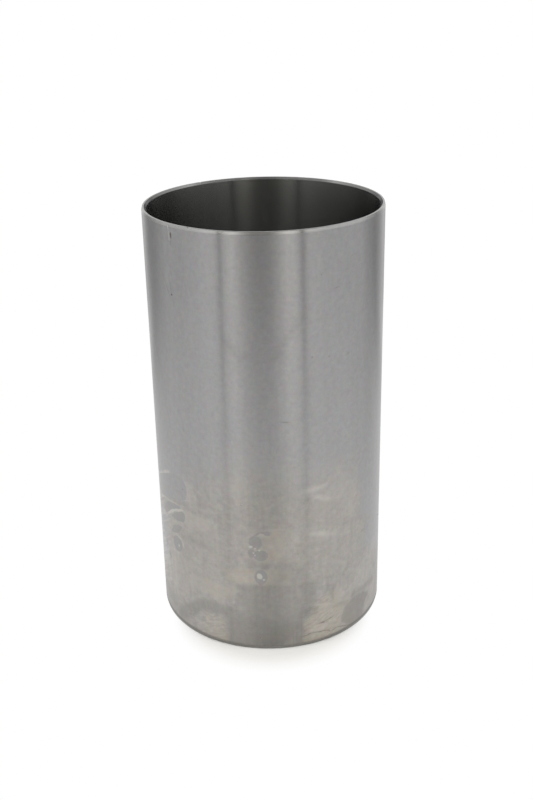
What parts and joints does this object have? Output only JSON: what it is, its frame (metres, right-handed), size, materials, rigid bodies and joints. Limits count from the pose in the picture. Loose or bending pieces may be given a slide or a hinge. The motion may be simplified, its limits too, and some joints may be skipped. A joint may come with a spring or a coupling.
{
  "type": "cylinder liner",
  "caption": "Thin straight dry cylinder liner, a flangeless ground tube pressed into an engine block, whose bore guides a piston.",
  "frame": {"origin": "middle of the lower end, on the bore's axis", "axes": "+Z along the bore, from the lower end to the upper end; X and Y lie in the lower end face and are alike"},
  "size_m": [0.1124, 0.1124, 0.2085],
  "materials": {
    "ground_iron": "satin"
  },
  "bodies": {
    "root": {"cylinder_liner": "ground_iron"}
  },
  "joints": []
}
